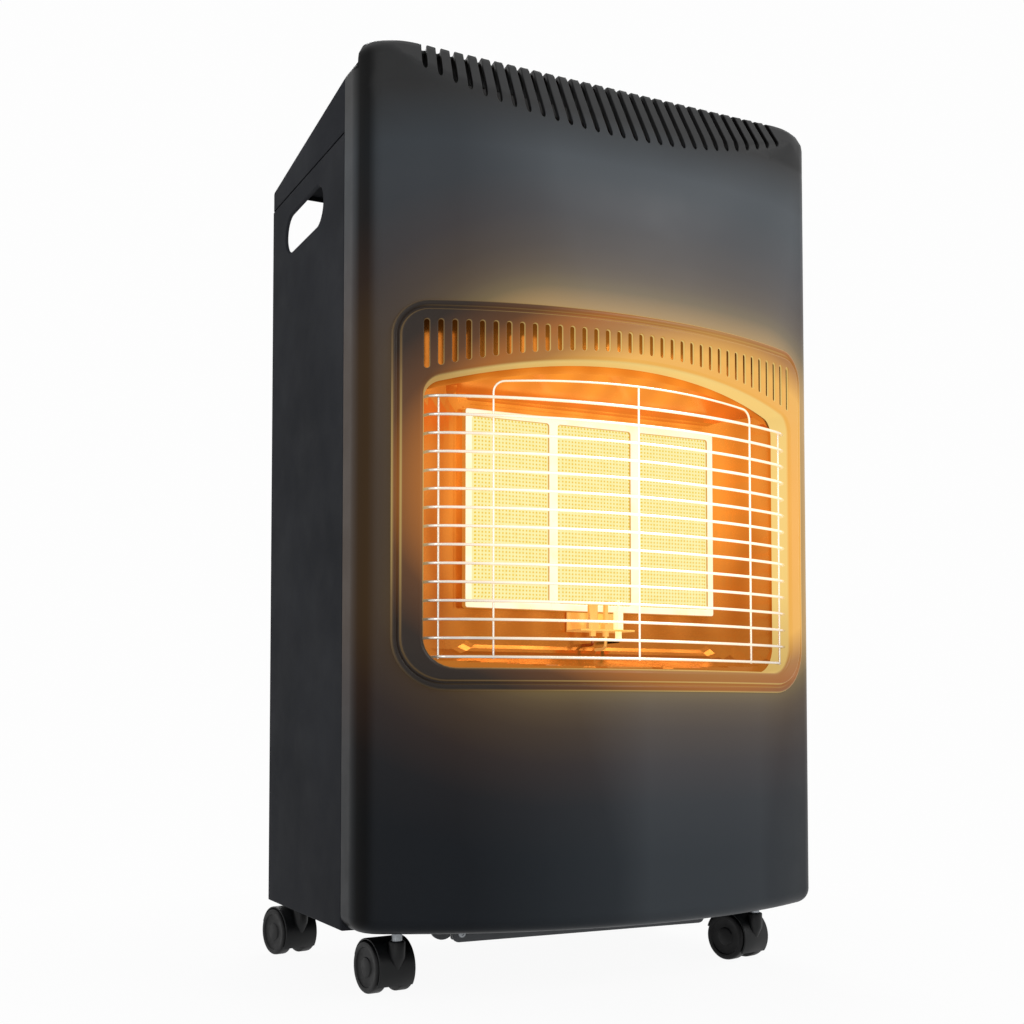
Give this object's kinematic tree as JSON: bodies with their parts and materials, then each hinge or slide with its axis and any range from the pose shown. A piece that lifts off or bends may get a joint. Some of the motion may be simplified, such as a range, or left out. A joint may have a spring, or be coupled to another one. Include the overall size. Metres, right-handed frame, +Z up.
{
  "type": "portable gas cabinet heater",
  "caption": "Tall cabinet on twin-wheel casters with a bowed front, a radiant gas burner behind a wire guard, vent slots, side hand holes and a lift-off rear cover.",
  "frame": {"origin": "centre of the footprint's bounding box, at floor level under the wheels", "axes": "+Z up, the bowed front with the burner faces -Y, +X is the right side seen from the front"},
  "size_m": [0.42, 0.3454, 0.7276],
  "materials": {
    "cabinet_paint": "fine satin black powder coat",
    "front_paint": "satin charcoal paint",
    "bezel_steel": "heat-proof satin black enamel",
    "guard_wire": "bright plated wire",
    "reflector_steel": "bright stamped steel, heat tinted",
    "frame_steel": "bright steel",
    "glowing_ceramic": "perforated ceramic, glowing orange-yellow",
    "white_ceramic": "glazed ceramic insulator",
    "zinc_steel": "zinc-plated sheet",
    "brass": "turned brass",
    "copper": "drawn copper tube",
    "cast_aluminium": "die-cast",
    "black_plastic": "moulded black nylon",
    "grey_plastic": "moulded dark grey nylon",
    "black_rubber": "silicone-sleeved wire",
    "bar_paint": "satin dark grey paint"
  },
  "bodies": {
    "cabinet": {"front_panel": "front_paint", "bezel": "bezel_steel", "wire_guard": "guard_wire", "left_side_panel": "cabinet_paint", "right_side_panel": "cabinet_paint", "top_cover": "cabinet_paint", "control_tray": "black_plastic", "chassis_panel": "zinc_steel", "base_pan": "cabinet_paint", "ceramic_plaque_left": "glowing_ceramic", "ceramic_plaque_centre": "glowing_ceramic", "ceramic_plaque_right": "glowing_ceramic", "burner_box_left": "zinc_steel", "burner_box_centre": "zinc_steel", "burner_box_right": "zinc_steel", "injector_left": "brass", "injector_centre": "brass", "injector_right": "brass", "burner_frame": "frame_steel", "gas_manifold": "cast_aluminium", "supply_pipe": "copper", "reflector": "reflector_steel", "pilot_bracket": "zinc_steel", "pilot_burner": "brass", "thermocouple": "copper", "spark_electrode": "white_ceramic", "pilot_pipe": "copper", "ignition_lead": "black_rubber", "gas_valve": "cast_aluminium", "hose_nozzle": "brass", "igniter_body": "black_plastic", "front_foot_bar": "bar_paint", "bar_screw_left": "zinc_steel", "bar_screw_right": "zinc_steel", "base_brace": "bar_paint", "front_left_caster_stem": "zinc_steel", "front_right_caster_stem": "zinc_steel", "rear_left_caster_stem": "zinc_steel", "rear_right_caster_stem": "zinc_steel"},
    "rear_cover": {"rear_cover": "cabinet_paint"},
    "valve_plunger": {"valve_spindle": "brass"},
    "gas_knob": {"control_knob": "black_plastic"},
    "igniter_push": {"igniter_button": "grey_plastic"},
    "front_left_swivel": {"front_left_caster_hood": "grey_plastic", "front_left_caster_axle": "zinc_steel"},
    "front_left_wheel_a": {"front_left_caster_wheel_a": "black_plastic"},
    "front_left_wheel_b": {"front_left_caster_wheel_b": "black_plastic"},
    "front_right_swivel": {"front_right_caster_hood": "grey_plastic", "front_right_caster_axle": "zinc_steel"},
    "front_right_wheel_a": {"front_right_caster_wheel_a": "black_plastic"},
    "front_right_wheel_b": {"front_right_caster_wheel_b": "black_plastic"},
    "rear_left_swivel": {"rear_left_caster_hood": "grey_plastic", "rear_left_caster_axle": "zinc_steel"},
    "rear_left_wheel_a": {"rear_left_caster_wheel_a": "black_plastic"},
    "rear_left_wheel_b": {"rear_left_caster_wheel_b": "black_plastic"},
    "rear_right_swivel": {"rear_right_caster_hood": "grey_plastic", "rear_right_caster_axle": "zinc_steel"},
    "rear_right_wheel_a": {"rear_right_caster_wheel_a": "black_plastic"},
    "rear_right_wheel_b": {"rear_right_caster_wheel_b": "black_plastic"}
  },
  "joints": [
    {"name": "rear_cover_lift", "type": "slide", "parent": "cabinet", "child": "rear_cover", "axis": [0, 0, 1], "range_m": [0, 0.025]},
    {"name": "gas_knob_push", "type": "slide", "parent": "cabinet", "child": "valve_plunger", "axis": [0, 0, -1], "range_m": [0, 0.004], "stiffness_N_per_m": 1500, "springref_m": -0.002},
    {"name": "gas_knob_turn", "type": "hinge", "parent": "valve_plunger", "child": "gas_knob", "pos_m": [0.082, 0.01925, 0.697], "axis": [0, 0, 1], "range_deg": [0, 270]},
    {"name": "igniter_press", "type": "slide", "parent": "cabinet", "child": "igniter_push", "axis": [0, 0, -1], "range_m": [0, 0.006], "stiffness_N_per_m": 800, "springref_m": -0.002},
    {"name": "front_left_swivel_turn", "type": "hinge", "parent": "cabinet", "child": "front_left_swivel", "pos_m": [-0.167, -0.08535, 0.04], "axis": [0, 0, 1], "continuous": true},
    {"name": "front_left_wheel_a_spin", "type": "hinge", "parent": "front_left_swivel", "child": "front_left_wheel_a", "pos_m": [-0.16947, -0.0655, 0.02], "axis": [0.9923, 0.1236, 0], "continuous": true},
    {"name": "front_left_wheel_b_spin", "type": "hinge", "parent": "front_left_swivel", "child": "front_left_wheel_b", "pos_m": [-0.16947, -0.0655, 0.02], "axis": [0.9923, 0.1236, 0], "continuous": true},
    {"name": "front_right_swivel_turn", "type": "hinge", "parent": "cabinet", "child": "front_right_swivel", "pos_m": [0.167, -0.08535, 0.04], "axis": [0, 0, 1], "continuous": true},
    {"name": "front_right_wheel_a_spin", "type": "hinge", "parent": "front_right_swivel", "child": "front_right_wheel_a", "pos_m": [0.16213, -0.06595, 0.02], "axis": [0.9699, 0.2436, 0], "continuous": true},
    {"name": "front_right_wheel_b_spin", "type": "hinge", "parent": "front_right_swivel", "child": "front_right_wheel_b", "pos_m": [0.16213, -0.06595, 0.02], "axis": [0.9699, 0.2436, 0], "continuous": true},
    {"name": "rear_left_swivel_turn", "type": "hinge", "parent": "cabinet", "child": "rear_left_swivel", "pos_m": [-0.18, 0.11365, 0.04], "axis": [0, 0, 1], "continuous": true},
    {"name": "rear_left_wheel_a_spin", "type": "hinge", "parent": "rear_left_swivel", "child": "rear_left_wheel_a", "pos_m": [-0.18423, 0.1332, 0.02], "axis": [0.9774, 0.2113, 0], "continuous": true},
    {"name": "rear_left_wheel_b_spin", "type": "hinge", "parent": "rear_left_swivel", "child": "rear_left_wheel_b", "pos_m": [-0.18423, 0.1332, 0.02], "axis": [0.9774, 0.2113, 0], "continuous": true},
    {"name": "rear_right_swivel_turn", "type": "hinge", "parent": "cabinet", "child": "rear_right_swivel", "pos_m": [0.18, 0.11365, 0.04], "axis": [0, 0, 1], "continuous": true},
    {"name": "rear_right_wheel_a_spin", "type": "hinge", "parent": "rear_right_swivel", "child": "rear_right_wheel_a", "pos_m": [0.17673, 0.13338, 0.02], "axis": [0.9866, 0.1633, 0], "continuous": true},
    {"name": "rear_right_wheel_b_spin", "type": "hinge", "parent": "rear_right_swivel", "child": "rear_right_wheel_b", "pos_m": [0.17673, 0.13338, 0.02], "axis": [0.9866, 0.1633, 0], "continuous": true}
  ]
}
